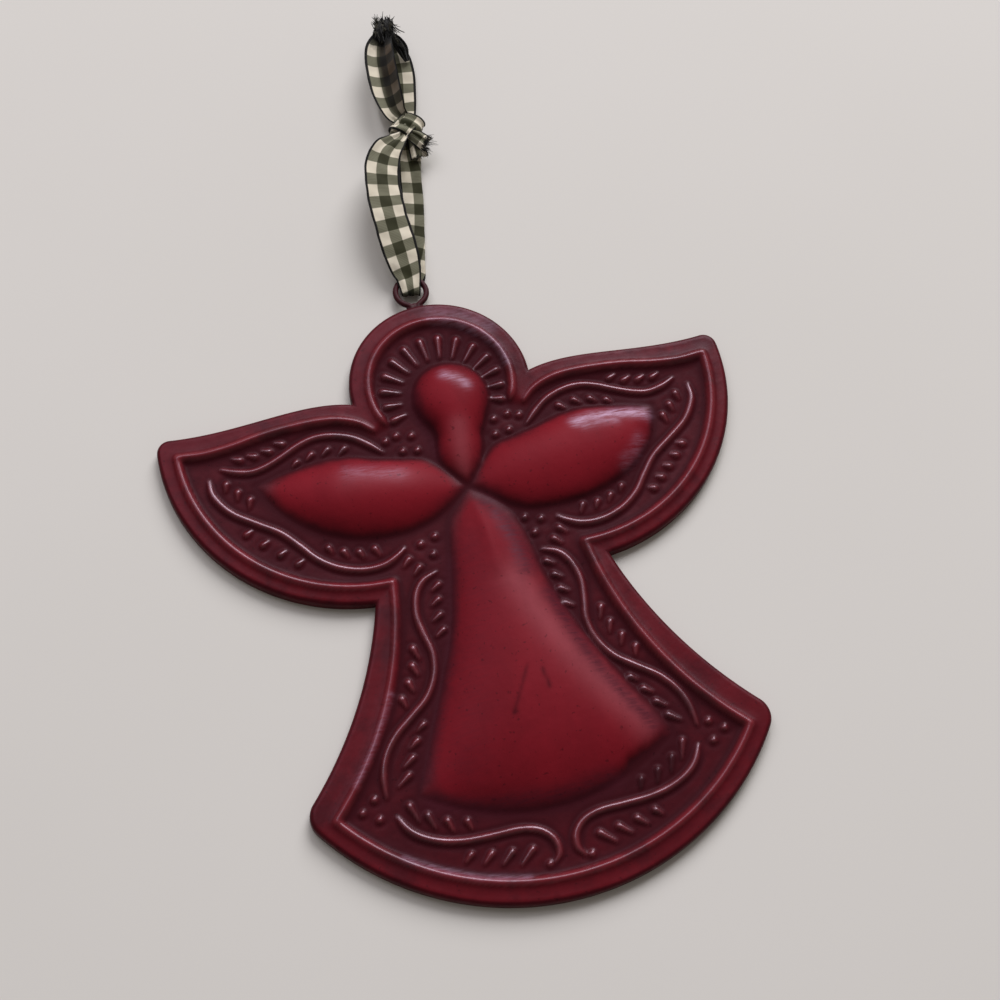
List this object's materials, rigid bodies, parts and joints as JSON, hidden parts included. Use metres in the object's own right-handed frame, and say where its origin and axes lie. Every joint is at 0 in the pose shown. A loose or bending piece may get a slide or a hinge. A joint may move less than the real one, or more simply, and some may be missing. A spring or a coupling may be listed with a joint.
{
  "type": "angel ornament",
  "caption": "Embossed tin angel in dark red with a closed pan-shaped back, a wire eye at the top of its halo and a knotted gingham ribbon to hang it by.",
  "frame": {"origin": "on the flat back face under the waist, where the head, the wings and the skirt meet", "axes": "+Z out of the embossed face, +Y towards the halo and the ribbon, +X towards the right-hand wing as seen from the front"},
  "size_m": [0.1438, 0.2435, 0.0103],
  "materials": {
    "red_tin": "satin red paint with dark antiquing in the hollows",
    "back_tin": "satin dark red paint",
    "eye_wire": "satin dark red paint",
    "ribbon_light": "woven check, cream side up",
    "ribbon_dark": "woven check in shade"
  },
  "bodies": {
    "tin": {"front_shell": "red_tin", "back_plate": "back_tin", "hanging_eye": "eye_wire"},
    "fold": {"ribbon_bight": "ribbon_dark"},
    "ribbon": {"ribbon_front_leg": "ribbon_light", "ribbon_back_leg": "ribbon_dark", "ribbon_knot": "ribbon_dark", "ribbon_hook_loop": "ribbon_light", "ribbon_upper_tail": "ribbon_light", "ribbon_lower_tail": "ribbon_light"}
  },
  "joints": [
    {"name": "ribbon_slide_round_eye", "type": "hinge", "parent": "tin", "child": "fold", "pos_m": [-0.00095, 0.05655, 0.00195], "axis": [0, 0, 1], "range_deg": [-70, 80]},
    {"name": "ribbon_swing", "type": "hinge", "parent": "fold", "child": "ribbon", "pos_m": [-0.00023, 0.06043, 0.00195], "axis": [0.9833, -0.1822, 0], "range_deg": [-80, 75]}
  ]
}
